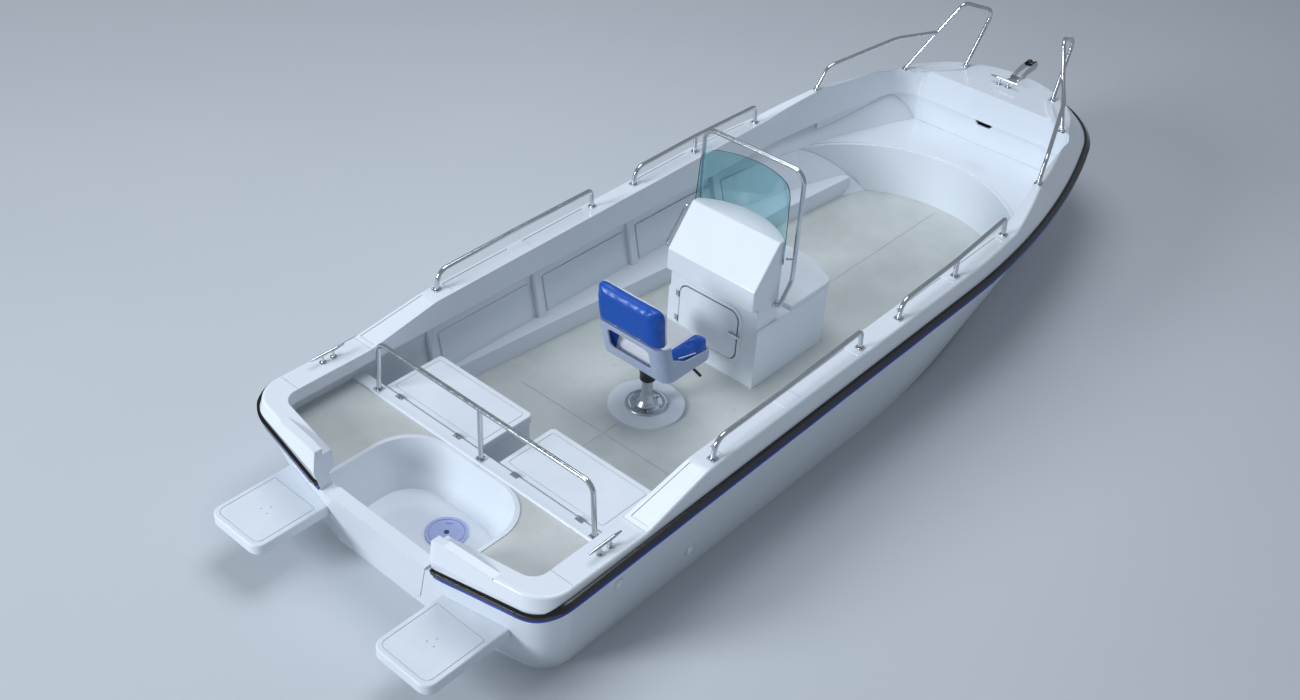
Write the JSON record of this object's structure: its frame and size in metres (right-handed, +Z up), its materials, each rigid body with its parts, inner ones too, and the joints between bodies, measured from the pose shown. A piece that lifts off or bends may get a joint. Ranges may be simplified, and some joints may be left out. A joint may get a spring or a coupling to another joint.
{
  "type": "center console boat",
  "caption": "Open glass-fibre boat with a raised helm console, swivel seat, hinged lockers, stern splash well, swim platforms and polished grab rails, stored afloat.",
  "frame": {"origin": "on the centreline at the stern, at the level of the water", "axes": "+X to starboard, +Y towards the bow, +Z up"},
  "size_m": [2.0906, 6.1143, 1.607],
  "materials": {
    "white_gelcoat": "polished gelcoat on glass-fibre laminate",
    "grey_nonskid": "fine moulded non-skid gelcoat",
    "stainless_steel": "polished stainless tube and castings",
    "teal_acrylic": "tinted clear acrylic sheet",
    "cast_aluminium": "satin anodised",
    "black_plastic": "fine moulded grain",
    "light_plastic": "moulded seat shell",
    "blue_vinyl": "coated upholstery cloth",
    "black_rubber": "extruded or moulded rubber",
    "navy_stripe": "coloured band in the gelcoat",
    "lilac_plastic": "moulded plastic"
  },
  "bodies": {
    "boat": {"hull": "white_gelcoat", "deck_moulding": "white_gelcoat", "stern_deck": "grey_nonskid", "splash_well": "white_gelcoat", "lid_hinges": "stainless_steel", "mooring_cleats": "stainless_steel", "hull_vents": "white_gelcoat", "stern_bulkhead": "white_gelcoat", "sole": "grey_nonskid", "bow_platform": "white_gelcoat", "bow_wall": "white_gelcoat", "side_liner_starboard": "white_gelcoat", "side_liner_port": "white_gelcoat", "swim_platform_starboard": "white_gelcoat", "swim_platform_port": "white_gelcoat", "locker_starboard": "white_gelcoat", "locker_port": "white_gelcoat", "console": "white_gelcoat", "console_door_hinges": "stainless_steel", "windshield": "teal_acrylic", "console_rail": "stainless_steel", "seat_plinth": "grey_nonskid", "seat_pedestal": "cast_aluminium", "side_rail_aft_starboard": "stainless_steel", "side_rail_aft_port": "stainless_steel", "side_rail_fore_starboard": "stainless_steel", "side_rail_fore_port": "stainless_steel", "stern_rail": "stainless_steel", "bow_rail_starboard": "stainless_steel", "bow_rail_port": "stainless_steel", "bow_roller_bracket": "stainless_steel", "rub_rail": "black_rubber", "rub_stripe": "navy_stripe", "deck_plate": "lilac_plastic"},
    "starboard_lid": {"locker_lid_starboard": "white_gelcoat"},
    "port_lid": {"locker_lid_port": "white_gelcoat"},
    "door": {"console_door": "white_gelcoat", "console_latch": "stainless_steel"},
    "bench": {"console_bench_lid": "white_gelcoat"},
    "seat": {"seat_swivel": "black_plastic", "seat_shell": "light_plastic", "seat_cushion": "blue_vinyl", "seat_back_pad": "blue_vinyl", "seat_lever": "black_plastic"},
    "roller": {"bow_roller": "black_rubber"}
  },
  "joints": [
    {"name": "starboard_lid_hinge", "type": "hinge", "parent": "boat", "child": "starboard_lid", "pos_m": [0.414, 0.75, 0.4425], "axis": [1, 0, 0], "range_deg": [0, 90]},
    {"name": "port_lid_hinge", "type": "hinge", "parent": "boat", "child": "port_lid", "pos_m": [-0.414, 0.75, 0.4425], "axis": [1, 0, 0], "range_deg": [0, 90]},
    {"name": "console_door_hinge", "type": "hinge", "parent": "boat", "child": "door", "pos_m": [-0.235, 2.413, 0.3725], "axis": [0, 0, -1], "range_deg": [0, 26]},
    {"name": "bench_lid_hinge", "type": "hinge", "parent": "boat", "child": "bench", "pos_m": [0, 2.719, 0.5045], "axis": [1, 0, 0], "range_deg": [0, 75]},
    {"name": "helm_seat_swivel", "type": "hinge", "parent": "boat", "child": "seat", "pos_m": [0, 1.91, 0.262], "axis": [0, 0, 1], "continuous": true},
    {"name": "bow_roller_spin", "type": "hinge", "parent": "boat", "child": "roller", "pos_m": [0, 5.735, 0.846], "axis": [1, 0, 0], "continuous": true}
  ]
}
